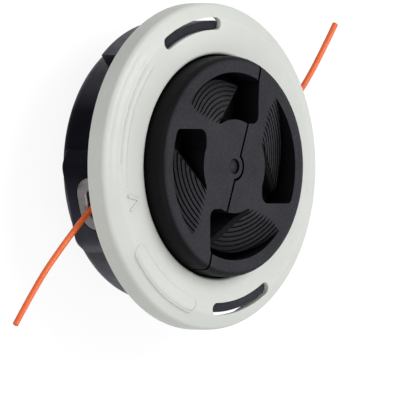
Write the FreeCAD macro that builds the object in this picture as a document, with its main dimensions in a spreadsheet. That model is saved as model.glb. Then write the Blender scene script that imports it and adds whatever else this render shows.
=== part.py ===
"""Bump feed trimmer head, built piece by piece in millimetres.

Z is the turning axis with the tap knob up. The origin is the middle of the collar seat at the back.
The two line eyelets lie on the X axis and the two cover latches on the Y axis.
"""
import math
import os
import re

import FreeCAD
import Part
import Sketcher

Vector = FreeCAD.Vector
UP = Vector(0, 0, 1)
ORIGIN = Vector(0, 0, 0)

doc = FreeCAD.newDocument("TrimmerHead")

# Driving dimensions in millimetres and degrees, each named once.
SIZES = {
    "collar_height": 10.5,
    "collar_radius": 27.0,
    "collar_wall": 4.0,
    "housing_depth": 25.5,
    "housing_wall": 2.2,
    "housing_floor": 2.5,
    "housing_edge": 5.0,
    "hub_radius": 13.5,
    "post_radius": 9.0,
    "rib_height": 2.0,
    "rib_width": 2.4,
    "rib_count": 8.0,
    "ring_radius": 65.0,
    "ring_height": 11.4,
    "ring_crown": 0.8,
    "ring_wall": 2.5,
    "ring_shoulder": 6.8,
    "slot_margin": 8.2,
    "slot_width": 5.0,
    "slot_span": 36.0,
    "latch_gap": 0.4,
    "label_width": 7.0,
    "swirl_width": 0.7,
    "label_line": 0.6,
    "mark_height": 0.35,
    "spool_gap": 0.8,
    "flange_margin": 14.5,
    "flange_thick": 1.9,
    "middle_flange": 1.3,
    "drum_radius": 24.0,
    "drum_wall": 2.6,
    "web_thick": 5.5,
    "slide_gap": 0.3,
    "winding_margin": 7.0,
    "tooth_height": 1.8,
    "tooth_gap": 0.4,
    "tooth_count": 12.0,
    "tap_stroke": 5.0,
    "line_diameter": 2.4,
    "eyelet_width": 22.0,
    "eyelet_height": 15.6,
    "eyelet_plate": 1.5,
    "eyelet_wall": 2.3,
    "eyelet_flange": 3.0,
    "eyelet_drop": 6.0,
    "eyelet_gap": 0.1,
    "boss_stand": 3.3,
    "boss_margin": 5.0,
    "boss_drop": 3.0,
    "boss_start": 5.5,
    "boss_round": 7.0,
    "boss_lip": 2.0,
    "latch_drop": 1.0,
    "nut_flats": 17.0,
    "nut_length": 16.0,
    "nut_gap": 0.05,
    "thread_radius": 4.5,
    "washer_thick": 1.0,
    "spring_margin": 4.4,
    "spring_wire": 2.0,
    "spring_turns": 5.0,
    "screw_reach": 14.6,
    "screw_radius": 1.5,
    "screw_head": 2.7,
    "knob_margin": 21.0,
    "knob_gap": 0.6,
    "knob_rise": 8.5,
    "knob_edge": 2.7,
    "knob_turn": -15.5,
    "knob_relief": 1.0,
    "knob_floor": 1.6,
    "grip_slope": 16.7,
    "grip_roll": 36.0,
    "grip_drop": 62.0,
    "grip_round": 3.5,
    "groove_width": 0.7,
    "groove_depth": 0.6,
    "seam_offset": 1.7,
    "seam_lean": 20.1,
    "seam_gap": 1.1,
    "boss_radius": 4.9,
    "dimple_radius": 3.1,
    "dimple_depth": 0.9,
    "handle_thick": 10.4,
    "handle_gap": 0.7,
    "hinge_margin": 2.5,
    "hinge_drop": 3.2,
    "hinge_pin": 1.0,
    "hinge_lug": 1.6,
    "lug_place": 7.0,
    "lug_width": 3.6,
}

# Heights and radii that follow from the driving dimensions.
PLACES = {
    "floor_z": "collar_height + housing_floor",
    "skirt_z": "collar_height + housing_depth",
    "top_z": "collar_height + housing_depth + ring_height",
    "crown_z": "top_z + ring_crown",
    "under_z": "top_z - ring_wall",
    "face_z": "crown_z + knob_rise",
    "flange_radius": "ring_radius - flange_margin",
    "wall_inner": "flange_radius + spool_gap",
    "wall_outer": "wall_inner + housing_wall",
    "eyelet_reach": "wall_outer + boss_stand",
    "eyelet_level": "skirt_z - eyelet_drop",
    "slot_reach": "ring_radius - slot_margin",
    "slot_inner": "slot_reach - slot_width / 2",
    "slot_outer": "slot_reach + slot_width / 2",
    "label_inner": "slot_inner - 1",
    "label_outer": "label_inner + label_width",
    "knob_radius": "ring_radius - knob_margin",
    "hole_radius": "knob_radius + knob_gap",
    "spool_top": "under_z - 2 * tooth_height - tooth_gap",
    "spool_bottom": "floor_z + 2 * tooth_height + tooth_gap + tap_stroke",
    "web_z": "spool_top - web_thick",
    "washer_z": "web_z - washer_thick",
    "middle_z": "(spool_bottom + spool_top) / 2",
    "post_z": "spool_top - 2.4",
    "bore_radius": "post_radius + slide_gap",
    "winding_radius": "flange_radius - winding_margin",
    "spring_radius": "drum_radius - drum_wall - spring_margin",
    "handle_z": "face_z - handle_thick",
    "bay_z": "handle_z - handle_gap",
    "hinge_z": "face_z - hinge_drop",
    "hinge_reach": "knob_radius - hinge_margin",
    "grip_outer": "knob_radius * 0.85",
    "grip_inner": "knob_radius * 0.4227",
    "grip_foot": "knob_radius * 0.384",
    "grip_wall": "knob_radius * 0.3364",
    "grip_depth": "face_z - spool_top - knob_relief - knob_floor",
}

sheet = doc.addObject("Spreadsheet::Sheet", "Sizes")
for row, (name, number) in enumerate(SIZES.items(), start=1):
    sheet.set("A%d" % row, name)
    sheet.set("B%d" % row, str(number))
    sheet.setAlias("B%d" % row, name)
doc.recompute()
places = doc.addObject("App::VarSet", "Places")


def bind(text):
    """Give each named size in a formula the object that holds it."""

    def owner(found):
        word = found.group(0)
        if word in SIZES:
            return "Sizes." + word
        if word in PLACES:
            return "Places." + word
        return word

    return re.sub(r"[a-z]+(?:_[a-z]+)*", owner, text)


for name, formula in PLACES.items():
    places.addProperty("App::PropertyFloat", name)
for name, formula in PLACES.items():
    places.setExpression(name, bind(formula))
doc.recompute()


def size(name):
    """The number behind a named size or place."""
    if name in SIZES:
        return float(sheet.get(name))
    return float(getattr(places, name))


def new_body(name):
    return doc.addObject("PartDesign::Body", name)


def new_sketch(body, name, role, offset="0"):
    """A sketch on one of the body's own origin planes, moved along its normal."""
    plane = [item for item in body.Origin.OriginFeatures if item.Role == role][0]
    sketch = body.newObject("Sketcher::SketchObject", name)
    sketch.AttachmentSupport = [(plane, "")]
    sketch.MapMode = "FlatFace"
    sketch.setExpression("AttachmentOffset.Base.z", bind(offset))
    return sketch


def tie(sketch, constraint, formula):
    number = sketch.addConstraint(constraint)
    sketch.setExpression("Constraints[%d]" % number, bind(formula))


def draw_polygon(sketch, corners):
    """A closed outline whose corners are each placed by two formulas."""
    count = len(corners)
    first = sketch.GeometryCount
    rough = []
    for step in range(count):
        turn = 2 * math.pi * step / count
        rough.append(Vector(60 + 20 * math.cos(turn), 30 + 20 * math.sin(turn), 0))
    for step in range(count):
        sketch.addGeometry(Part.LineSegment(rough[step], rough[(step + 1) % count]), False)
    for step in range(count):
        follower = first + (step + 1) % count
        sketch.addConstraint(Sketcher.Constraint("Coincident", first + step, 2, follower, 1))
    for step, (across, along) in enumerate(corners):
        line = first + step
        tie(sketch, Sketcher.Constraint("DistanceX", -1, 1, line, 1, rough[step].x), across)
        tie(sketch, Sketcher.Constraint("DistanceY", -1, 1, line, 1, rough[step].y), along)


def draw_circle(sketch, radius):
    """A circle about the sketch origin."""
    number = sketch.addGeometry(Part.Circle(ORIGIN, UP, 10), False)
    sketch.addConstraint(Sketcher.Constraint("Coincident", number, 3, -1, 1))
    tie(sketch, Sketcher.Constraint("Radius", number, 10), radius)


def draw_sector(sketch, inner, outer, middle, half):
    """A piece of an annulus about the axis; the angles are in degrees."""
    start = math.radians(middle - 15)
    end = math.radians(middle + 15)

    def point(radius, angle):
        return Vector(radius * math.cos(angle), radius * math.sin(angle), 0)

    first = sketch.GeometryCount
    sketch.addGeometry(Part.ArcOfCircle(Part.Circle(ORIGIN, UP, 50), start, end), False)
    sketch.addGeometry(Part.ArcOfCircle(Part.Circle(ORIGIN, UP, 55), start, end), False)
    sketch.addGeometry(Part.LineSegment(point(50, start), point(55, start)), False)
    sketch.addGeometry(Part.LineSegment(point(50, end), point(55, end)), False)
    for line, spot, other, there in (
        (0, 3, -1, 1),
        (1, 3, -1, 1),
        (0, 1, 2, 1),
        (1, 1, 2, 2),
        (0, 2, 3, 1),
        (1, 2, 3, 2),
    ):
        target = other if other < 0 else first + other
        sketch.addConstraint(Sketcher.Constraint("Coincident", first + line, spot, target, there))
    sketch.addConstraint(Sketcher.Constraint("PointOnObject", -1, 1, first + 2))
    sketch.addConstraint(Sketcher.Constraint("PointOnObject", -1, 1, first + 3))
    tie(sketch, Sketcher.Constraint("Radius", first, 50), inner)
    tie(sketch, Sketcher.Constraint("Radius", first + 1, 55), outer)
    low = "(%s - (%s)) * 1 deg" % (middle, half)
    high = "(%s + (%s)) * 1 deg" % (middle, half)
    tie(sketch, Sketcher.Constraint("Angle", -1, 1, first + 2, 1, start), low)
    tie(sketch, Sketcher.Constraint("Angle", -1, 1, first + 3, 1, end), high)


def draw_arc_slot(sketch, inner, outer, middle, half):
    """A slot with round ends that runs round the axis; the angles are to the end centres."""
    low = math.radians(middle - 15)
    high = math.radians(middle + 15)
    first = sketch.GeometryCount
    ends = [Vector(52.5 * math.cos(turn), 52.5 * math.sin(turn), 0) for turn in (low, high)]
    sketch.addGeometry(Part.ArcOfCircle(Part.Circle(ORIGIN, UP, 50), low, high), False)
    sketch.addGeometry(Part.ArcOfCircle(Part.Circle(ORIGIN, UP, 55), low, high), False)
    sketch.addGeometry(Part.ArcOfCircle(Part.Circle(ends[0], UP, 2.5), low - math.pi, low), False)
    sketch.addGeometry(Part.ArcOfCircle(Part.Circle(ends[1], UP, 2.5), high, high + math.pi), False)
    sketch.addGeometry(Part.LineSegment(ORIGIN, ends[0]), True)
    sketch.addGeometry(Part.LineSegment(ORIGIN, ends[1]), True)
    for line, spot, other, there in ((0, 3, -1, 1), (1, 3, -1, 1), (4, 1, -1, 1), (5, 1, -1, 1)):
        sketch.addConstraint(Sketcher.Constraint("Coincident", first + line, spot, other, there))
    for line, spot, other, there in ((4, 2, 2, 3), (5, 2, 3, 3)):
        sketch.addConstraint(Sketcher.Constraint("Coincident", first + line, spot, first + other, there))
    for line, spot, other, there in ((0, 1, 2, 1), (1, 1, 2, 2), (0, 2, 3, 2), (1, 2, 3, 1)):
        sketch.addConstraint(Sketcher.Constraint("Tangent", first + line, spot, first + other, there))
    tie(sketch, Sketcher.Constraint("Radius", first, 50), inner)
    tie(sketch, Sketcher.Constraint("Radius", first + 1, 55), outer)
    start = "(%s - (%s)) * 1 deg" % (middle, half)
    end = "(%s + (%s)) * 1 deg" % (middle, half)
    tie(sketch, Sketcher.Constraint("Angle", -1, 1, first + 4, 1, low), start)
    tie(sketch, Sketcher.Constraint("Angle", -1, 1, first + 5, 1, high), end)


def draw_oblong(sketch, width, height, middle):
    """A slot outline with round ends, lying across the sketch at a given height."""
    first = sketch.GeometryCount
    left = Vector(-6, 30, 0)
    right = Vector(6, 30, 0)
    sketch.addGeometry(Part.LineSegment(Vector(-6, 34, 0), Vector(6, 34, 0)), False)
    sketch.addGeometry(Part.ArcOfCircle(Part.Circle(right, UP, 4), -math.pi / 2, math.pi / 2), False)
    sketch.addGeometry(Part.LineSegment(Vector(6, 26, 0), Vector(-6, 26, 0)), False)
    sketch.addGeometry(Part.ArcOfCircle(Part.Circle(left, UP, 4), math.pi / 2, 3 * math.pi / 2), False)
    sketch.addConstraint(Sketcher.Constraint("Tangent", first, 2, first + 1, 2))
    sketch.addConstraint(Sketcher.Constraint("Tangent", first + 1, 1, first + 2, 1))
    sketch.addConstraint(Sketcher.Constraint("Tangent", first + 2, 2, first + 3, 2))
    sketch.addConstraint(Sketcher.Constraint("Tangent", first + 3, 1, first, 1))
    sketch.addConstraint(Sketcher.Constraint("Horizontal", first))
    sketch.addConstraint(Sketcher.Constraint("Equal", first + 1, first + 3))
    tie(sketch, Sketcher.Constraint("Radius", first + 1, 4), "(%s) / 2" % height)
    reach = "((%s) - (%s)) / 2" % (width, height)
    tie(sketch, Sketcher.Constraint("DistanceX", -1, 1, first + 1, 3, 6), reach)
    tie(sketch, Sketcher.Constraint("DistanceX", first + 3, 3, -1, 1, 6), reach)
    tie(sketch, Sketcher.Constraint("DistanceY", -1, 1, first + 1, 3, 30), middle)


def revolve(body, name, corners):
    sketch = new_sketch(body, name + "_profile", "XZ_Plane")
    draw_polygon(sketch, corners)
    feature = body.newObject("PartDesign::Revolution", name)
    feature.Profile = sketch
    feature.ReferenceAxis = (sketch, ["V_Axis"])
    feature.Angle = 360
    doc.recompute()
    return feature


def pad(body, name, sketch, length, reverse=False):
    feature = body.newObject("PartDesign::Pad", name)
    feature.Profile = sketch
    feature.setExpression("Length", bind(length))
    feature.Reversed = reverse
    doc.recompute()
    return feature


def pocket(body, name, sketch, length, reverse=False):
    before = body.Shape.Volume
    feature = body.newObject("PartDesign::Pocket", name)
    feature.Profile = sketch
    feature.setExpression("Length", bind(length))
    feature.Reversed = reverse
    doc.recompute()
    if body.Shape.Volume > before - 1:
        raise RuntimeError(name + " cuts nothing")
    return feature


def pattern(body, name, originals, count):
    """Repeat features evenly about the axis."""
    axis = [item for item in body.Origin.OriginFeatures if item.Role == "Z_Axis"][0]
    feature = body.newObject("PartDesign::PolarPattern", name)
    feature.Originals = originals
    feature.Axis = (axis, [""])
    feature.Angle = 360
    feature.setExpression("Occurrences", bind(count))
    body.Tip = feature
    doc.recompute()
    return feature


def round_edges(body, name, radius, wanted):
    """Fillet the edges for which the test holds."""
    base = body.Tip
    names = []
    for number, edge in enumerate(base.Shape.Edges, start=1):
        if wanted(edge):
            names.append("Edge%d" % number)
    if not names:
        raise RuntimeError(name + " finds no edge")
    feature = body.newObject("PartDesign::Fillet", name)
    feature.Base = (base, names)
    feature.setExpression("Radius", bind(radius))
    doc.recompute()
    if "Invalid" in feature.State:
        raise RuntimeError(name + " cannot be rounded")
    return feature


def circle_at(radius, height):
    """Test for a full or part circle about the axis at a height."""

    def wanted(edge):
        curve = edge.Curve
        if not isinstance(curve, Part.Circle):
            return False
        if abs(curve.Radius - radius) > 0.05 or abs(curve.Center.z - height) > 0.05:
            return False
        return math.hypot(curve.Center.x, curve.Center.y) < 0.05

    return wanted


def add_teeth(body, name, inner, outer, base, down):
    """A ring of ramped index teeth on a flat face, with a narrow flat on each tip."""
    sketch = new_sketch(body, name + "_profile", "YZ_Plane", inner)
    sign = "-" if down else "+"
    tip = "%s %s tooth_height" % (base, sign)
    root = "%s %s 0.3" % (base, "+" if down else "-")
    draw_polygon(
        sketch,
        [
            ("-tooth_height * 3.2", root),
            ("tooth_height * 1.2", root),
            ("tooth_height * 1.2", tip),
            ("tooth_height * 0.3", tip),
            ("-tooth_height * 3.2", "%s %s 0.2" % (base, sign)),
        ],
    )
    tooth = pad(body, name + "_tooth", sketch, "(%s) - (%s)" % (outer, inner))
    return pattern(body, name, [tooth], "tooth_count")


# Upper housing: bowl, collar seat, hub with guide post, line bosses, latches and back ribs.
housing = new_body("upper_housing")
revolve(
    housing,
    "bowl",
    [
        ("0", "nut_length + 6"),
        ("hub_radius - 2", "nut_length + 6"),
        ("hub_radius - 2", "0.4"),
        ("hub_radius", "0.4"),
        ("hub_radius", "collar_height"),
        ("collar_radius - collar_wall", "collar_height"),
        ("collar_radius - collar_wall", "0"),
        ("collar_radius", "0"),
        ("collar_radius", "collar_height"),
        ("wall_outer", "collar_height"),
        ("wall_outer", "under_z"),
        ("wall_inner", "under_z"),
        ("wall_inner", "floor_z"),
        ("hub_radius", "floor_z"),
        ("hub_radius", "nut_length + 8"),
        ("post_radius", "nut_length + 8"),
        ("post_radius", "post_z"),
        ("0", "post_z"),
    ],
)
round_edges(housing, "back_edge", "housing_edge", circle_at(size("wall_outer"), size("collar_height")))

boss_sketch = new_sketch(housing, "line_boss_outline", "XY_Plane", "collar_height + boss_start")
draw_polygon(
    boss_sketch,
    [
        ("wall_inner - 1", "-(eyelet_width / 2 + 2 * boss_margin)"),
        ("wall_inner + 1", "-(eyelet_width / 2 + 2 * boss_margin)"),
        ("eyelet_reach", "-(eyelet_width / 2 + boss_margin)"),
        ("eyelet_reach", "eyelet_width / 2 + boss_margin"),
        ("wall_inner + 1", "eyelet_width / 2 + 2 * boss_margin"),
        ("wall_inner - 1", "eyelet_width / 2 + 2 * boss_margin"),
    ],
)
line_boss = pad(housing, "line_boss", boss_sketch, "under_z - boss_drop - collar_height - boss_start")
pattern(housing, "line_bosses", [line_boss], "2")


def boss_corner(edge):
    """Test for the four upright corners of the line bosses."""
    box = edge.BoundBox
    if box.XLength > 0.01 or box.YLength > 0.01:
        return False
    return abs(abs(box.XMin) - size("eyelet_reach")) < 0.05


def boss_back(edge):
    """Test for the back edges of the line bosses."""
    box = edge.BoundBox
    level = size("collar_height") + size("boss_start")
    if box.ZLength > 0.01 or abs(box.ZMin - level) > 0.05:
        return False
    return max(abs(box.XMin), abs(box.XMax)) > size("wall_outer") + 0.2


round_edges(housing, "boss_corners", "boss_round", boss_corner)
round_edges(housing, "boss_backs", "boss_lip", boss_back)

latch_sketch = new_sketch(housing, "latch_boss_outline", "XY_Plane", "collar_height + 9")
draw_sector(latch_sketch, "wall_inner + 0.8", "slot_outer - 1.3", 90, "25")
latch_boss = pad(housing, "latch_boss", latch_sketch, "under_z - latch_drop - collar_height - 9")
pattern(housing, "latch_bosses", [latch_boss], "2")

tongue_sketch = new_sketch(housing, "latch_tongue_outline", "XY_Plane", "under_z - latch_drop - 0.5")
draw_arc_slot(
    tongue_sketch,
    "slot_inner + latch_gap",
    "slot_outer - 1.3",
    90,
    "slot_span / 2 - slot_width / 2 - 0.4",
)
tongue = pad(housing, "latch_tongue", tongue_sketch, "ring_wall + latch_drop - 0.6")
pattern(housing, "latch_tongues", [tongue], "2")

inside_sketch = new_sketch(housing, "inside_outline", "XY_Plane", "under_z")
draw_circle(inside_sketch, "wall_inner")
draw_circle(inside_sketch, "hub_radius + 6")
inside = pocket(housing, "inside", inside_sketch, "under_z - floor_z")

seat_sketch = new_sketch(housing, "eyelet_seat_outline", "YZ_Plane", "eyelet_reach + 1")
draw_oblong(seat_sketch, "eyelet_width + 2 * eyelet_gap", "eyelet_height + 2 * eyelet_gap", "eyelet_level")
seat = pocket(housing, "eyelet_seat", seat_sketch, "eyelet_plate + 1")
throat_sketch = new_sketch(housing, "eyelet_throat_outline", "YZ_Plane", "eyelet_reach + 1")
draw_oblong(
    throat_sketch,
    "eyelet_width - 2 * eyelet_flange + 2 * eyelet_gap",
    "eyelet_height - 2 * eyelet_flange + 2 * eyelet_gap",
    "eyelet_level",
)
throat = pocket(housing, "eyelet_throat", throat_sketch, "eyelet_reach - wall_inner + 4")
pattern(housing, "eyelet_seats", [seat, throat], "2")

rib_sketch = new_sketch(housing, "back_rib_outline", "XY_Plane", "collar_height - rib_height")
draw_polygon(
    rib_sketch,
    [
        ("collar_radius - 0.5", "-rib_width / 2"),
        ("wall_outer - housing_edge - 2", "-rib_width / 2"),
        ("wall_outer - housing_edge - 2", "rib_width / 2"),
        ("collar_radius - 0.5", "rib_width / 2"),
    ],
)
rib = pad(housing, "back_rib", rib_sketch, "rib_height + 0.5")
pattern(housing, "back_ribs", [rib], "rib_count")

web_sketch = new_sketch(housing, "collar_web_outline", "XY_Plane", "2")
draw_polygon(
    web_sketch,
    [
        ("hub_radius - 0.5", "-rib_width / 2"),
        ("collar_radius - collar_wall + 0.5", "-rib_width / 2"),
        ("collar_radius - collar_wall + 0.5", "rib_width / 2"),
        ("hub_radius - 0.5", "rib_width / 2"),
    ],
)
web = pad(housing, "collar_web", web_sketch, "collar_height - 1.5")
pattern(housing, "collar_webs", [web], "6")

hub_sketch = new_sketch(housing, "hub_fill_outline", "XY_Plane", "0.4")
draw_circle(hub_sketch, "hub_radius - 1")
pad(housing, "hub_fill", hub_sketch, "nut_length + 6")
hex_sketch = new_sketch(housing, "nut_seat_outline", "XY_Plane", "0")
hex_corners = []
for corner in range(6):
    turn = "%d" % (60 * corner)
    across = "(nut_flats / 2 + nut_gap) / cos(30 deg) * cos(%s deg)" % turn
    along = "(nut_flats / 2 + nut_gap) / cos(30 deg) * sin(%s deg)" % turn
    hex_corners.append((across, along))
draw_polygon(hex_sketch, hex_corners)
pocket(housing, "nut_seat", hex_sketch, "nut_length", True)
stud_sketch = new_sketch(housing, "stud_room_outline", "XY_Plane", "nut_length")
draw_circle(stud_sketch, "thread_radius + 0.9")
pocket(housing, "stud_room", stud_sketch, "10", True)

add_teeth(housing, "floor_teeth", "drum_radius + 9", "drum_radius + 15", "floor_z", False)

# Arbor nut: hexagon with the bore that the gearbox stud is screwed into.
nut = new_body("arbor_nut")
nut_sketch = new_sketch(nut, "nut_outline", "XY_Plane", "0")
nut_corners = []
for corner in range(6):
    across = "nut_flats / 2 / cos(30 deg) * cos(%d deg)" % (60 * corner)
    along = "nut_flats / 2 / cos(30 deg) * sin(%d deg)" % (60 * corner)
    nut_corners.append((across, along))
draw_polygon(nut_sketch, nut_corners)
draw_circle(nut_sketch, "thread_radius")
pad(nut, "nut_block", nut_sketch, "nut_length")

# Line eyelets: oblong steel ferrules in the two bosses.
for name, turn in (("line_eyelet_right", 0), ("line_eyelet_left", 180)):
    eyelet = new_body(name)
    plate_sketch = new_sketch(eyelet, name + "_plate_outline", "YZ_Plane", "eyelet_reach - eyelet_plate")
    draw_oblong(plate_sketch, "eyelet_width", "eyelet_height", "eyelet_level")
    pad(eyelet, name + "_plate", plate_sketch, "eyelet_plate + 0.4")
    tube_sketch = new_sketch(eyelet, name + "_tube_outline", "YZ_Plane", "wall_inner")
    draw_oblong(
        tube_sketch,
        "eyelet_width - 2 * eyelet_flange",
        "eyelet_height - 2 * eyelet_flange",
        "eyelet_level",
    )
    pad(eyelet, name + "_tube", tube_sketch, "eyelet_reach - wall_inner")
    open_sketch = new_sketch(eyelet, name + "_opening_outline", "YZ_Plane", "wall_inner - 1")
    draw_oblong(
        open_sketch,
        "eyelet_width - 2 * eyelet_flange - 2 * eyelet_wall",
        "eyelet_height - 2 * eyelet_flange - 2 * eyelet_wall",
        "eyelet_level",
    )
    pocket(eyelet, name + "_opening", open_sketch, "eyelet_reach - wall_inner + 3", True)
    front = size("eyelet_reach") + 0.4
    round_edges(
        eyelet,
        name + "_lip",
        "eyelet_wall * 0.5",
        lambda edge: abs(edge.BoundBox.XMin - front) < 0.01 and abs(edge.BoundBox.XMax - front) < 0.01,
    )
    eyelet.Placement = FreeCAD.Placement(ORIGIN, FreeCAD.Rotation(UP, turn))

# Cover ring: cap with a rounded shoulder, two latch slots, a bare label frame and an arrow mark.
cover = new_body("cover_ring")
revolve(
    cover,
    "cap",
    [
        ("hole_radius", "under_z"),
        ("ring_radius - ring_wall", "under_z"),
        ("ring_radius - ring_wall", "skirt_z"),
        ("ring_radius", "skirt_z"),
        ("ring_radius", "top_z"),
        ("ring_radius - ring_shoulder - 0.8", "top_z"),
        ("hole_radius", "crown_z"),
    ],
)
round_edges(cover, "shoulder", "ring_shoulder", circle_at(size("ring_radius"), size("top_z")))
inner_corner = circle_at(size("ring_radius") - size("ring_wall"), size("under_z"))
round_edges(cover, "inner_shoulder", "ring_shoulder - ring_wall", inner_corner)
round_edges(cover, "hole_lip", "1", circle_at(size("hole_radius"), size("crown_z")))
slot_sketch = new_sketch(cover, "slot_outline", "XY_Plane", "crown_z")
draw_arc_slot(
    slot_sketch,
    "slot_inner",
    "slot_outer",
    90,
    "slot_span / 2 - slot_width / 2",
)
slot = pocket(cover, "slot", slot_sketch, "ring_wall + ring_crown + ring_shoulder")
pattern(cover, "slots", [slot], "2")
add_teeth(cover, "cover_teeth", "hole_radius + 1", "flange_radius - 0.2", "under_z", True)

frame_sketch = new_sketch(cover, "label_frame_outline", "XY_Plane", "top_z - 0.5")
draw_arc_slot(frame_sketch, "label_inner", "label_outer", 220, "18.4")
draw_arc_slot(frame_sketch, "label_inner + label_line", "label_outer - label_line", 220, "18.4")
pad(cover, "label_frame", frame_sketch, "0.5 + mark_height")
arrow_sketch = new_sketch(cover, "arrow_outline", "XY_Plane", "top_z")
draw_polygon(
    arrow_sketch,
    [
        ("-(hole_radius + 4.2)", "0"),
        ("-(hole_radius + 10.6)", "3.4"),
        ("-(hole_radius + 10.9)", "2.5"),
        ("-(hole_radius + 6.0)", "0"),
        ("-(hole_radius + 10.9)", "-2.5"),
        ("-(hole_radius + 10.6)", "-3.4"),
    ],
)
pad(cover, "arrow", arrow_sketch, "ring_crown + 0.05")
swirl_sketch = new_sketch(cover, "swirl_outline", "XY_Plane", "top_z - 0.3")
draw_arc_slot(swirl_sketch, "slot_inner", "slot_inner + swirl_width", 146, "27")
draw_arc_slot(swirl_sketch, "slot_reach + 0.6", "slot_reach + 0.6 + swirl_width", 142, "21")
pad(cover, "swirl", swirl_sketch, "0.3 + mark_height * 0.7")

# Spool: two line rooms on a hollow drum, with index teeth on both outer faces.
spool = new_body("spool")
revolve(
    spool,
    "reel",
    [
        ("bore_radius", "web_z"),
        ("drum_radius - drum_wall", "web_z"),
        ("drum_radius - drum_wall", "spool_bottom"),
        ("flange_radius - 1", "spool_bottom"),
        ("flange_radius - 1", "spool_bottom + flange_thick"),
        ("drum_radius", "spool_bottom + flange_thick"),
        ("drum_radius", "middle_z - middle_flange / 2"),
        ("flange_radius - 1", "middle_z - middle_flange / 2"),
        ("flange_radius - 1", "middle_z + middle_flange / 2"),
        ("drum_radius", "middle_z + middle_flange / 2"),
        ("drum_radius", "spool_top - flange_thick"),
        ("flange_radius", "spool_top - flange_thick"),
        ("flange_radius", "spool_top"),
        ("bore_radius", "spool_top"),
    ],
)
head_sketch = new_sketch(spool, "screw_seat_outline", "XY_Plane", "web_z")
screw_row = head_sketch.addGeometry(Part.Circle(Vector(14, 0, 0), UP, 3), False)
head_sketch.addConstraint(Sketcher.Constraint("PointOnObject", screw_row, 3, -1))
tie(head_sketch, Sketcher.Constraint("DistanceX", -1, 1, screw_row, 3, 14), "screw_reach")
tie(head_sketch, Sketcher.Constraint("Radius", screw_row, 3), "screw_head + 0.1")
screw_seat = pocket(spool, "screw_seat", head_sketch, "web_thick - 2.4", True)
shank_sketch = new_sketch(spool, "screw_hole_outline", "XY_Plane", "web_z")
shank_row = shank_sketch.addGeometry(Part.Circle(Vector(14, 0, 0), UP, 2), False)
shank_sketch.addConstraint(Sketcher.Constraint("PointOnObject", shank_row, 3, -1))
tie(shank_sketch, Sketcher.Constraint("DistanceX", -1, 1, shank_row, 3, 14), "screw_reach")
tie(shank_sketch, Sketcher.Constraint("Radius", shank_row, 2), "screw_radius + 0.05")
screw_hole = pocket(spool, "screw_hole", shank_sketch, "web_thick + 1", True)
pattern(spool, "screw_places", [screw_seat, screw_hole], "4")
add_teeth(spool, "bottom_teeth", "drum_radius + 9", "drum_radius + 15", "spool_bottom", True)
add_teeth(spool, "top_teeth", "hole_radius + 1", "flange_radius - 0.2", "spool_top", False)

# Line windings: the turns in each room, with the outermost turns showing.
for name, low in (
    ("line_winding_lower", "spool_bottom + flange_thick"),
    ("line_winding_upper", "middle_z + middle_flange / 2"),
):
    winding = new_body(name)
    room = "(middle_z - middle_flange / 2 - spool_bottom - flange_thick)"
    profile = [("drum_radius", low), ("winding_radius - 0.6", low)]
    for turn in range(3):
        profile.append(("winding_radius", "%s + %s * %.4f" % (low, room, (turn + 0.3) / 3)))
        profile.append(("winding_radius", "%s + %s * %.4f" % (low, room, (turn + 0.7) / 3)))
        profile.append(("winding_radius - 0.6", "%s + %s * %.4f" % (low, room, (turn + 1.0) / 3)))
    profile.append(("drum_radius", "%s + %s" % (low, room)))
    revolve(winding, name + "_turns", profile)

# Thrust washer between the spring and the spool.
washer = new_body("thrust_washer")
washer_sketch = new_sketch(washer, "washer_outline", "XY_Plane", "washer_z")
draw_circle(washer_sketch, "drum_radius - drum_wall - 0.8")
draw_circle(washer_sketch, "post_radius + 1.2")
pad(washer, "washer_disc", washer_sketch, "washer_thick")

# Feed spring: a round wire coil from the housing floor to the washer.
wire = size("spring_wire")
coil_low = size("floor_z") + wire / 2
coil_high = size("washer_z") - wire / 2
turns = size("spring_turns")
helix = Part.makeHelix((coil_high - coil_low) / turns, coil_high - coil_low, size("spring_radius"))
start = Vector(size("spring_radius"), 0, 0)
section = Part.Wire([Part.makeCircle(wire / 2, start, Vector(0, 1, 0))])
coil = Part.Wire(helix.Edges).makePipeShell([section], True, True)
coil.translate(Vector(0, 0, coil_low))
spring = doc.addObject("Part::Feature", "feed_spring")
spring.Shape = coil

# Knob: shared tools for the pinwheel grips, drawn with the knob at rest before it is turned.
face = size("face_z")
grip_outer = size("grip_outer")
grip_inner = size("grip_inner")
grip_wall = size("grip_wall")

# The plan points of the grips and the seam are drawn for a knob of this radius.
DRAWN_RADIUS = 44.0
scale = size("knob_radius") / DRAWN_RADIUS


def prism(points, low, high):
    """An upright block over a closed row of plan points."""
    row = [Vector(x, y, low) for x, y in points]
    outline = Part.makePolygon(row + [row[0]])
    return Part.Face(outline).extrude(Vector(0, 0, high - low))


def tube(inner, outer, low, high):
    base = Vector(0, 0, low)
    return Part.makeCylinder(outer, high - low, base).cut(Part.makeCylinder(inner, high - low, base))


def under(first, second, toward, lean):
    """The space under a plane that holds two points and sinks toward a third at an angle."""
    along = (second - first).normalize()
    side = Vector(-along.y, along.x, 0).normalize()
    if side.dot(toward - first) < 0:
        side = side * -1
    angle = math.radians(lean)
    slope = side * math.cos(angle) - UP * math.sin(angle)
    normal = slope.cross(along).normalize()
    if normal.z < 0:
        normal = normal * -1
    reach = 3 * size("knob_radius")
    block = Part.makeBox(2 * reach, 2 * reach, reach, Vector(-reach, -reach, -reach))
    block.Placement = FreeCAD.Placement(first, FreeCAD.Rotation(along, normal.cross(along), normal, "ZXY"))
    return block


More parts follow.
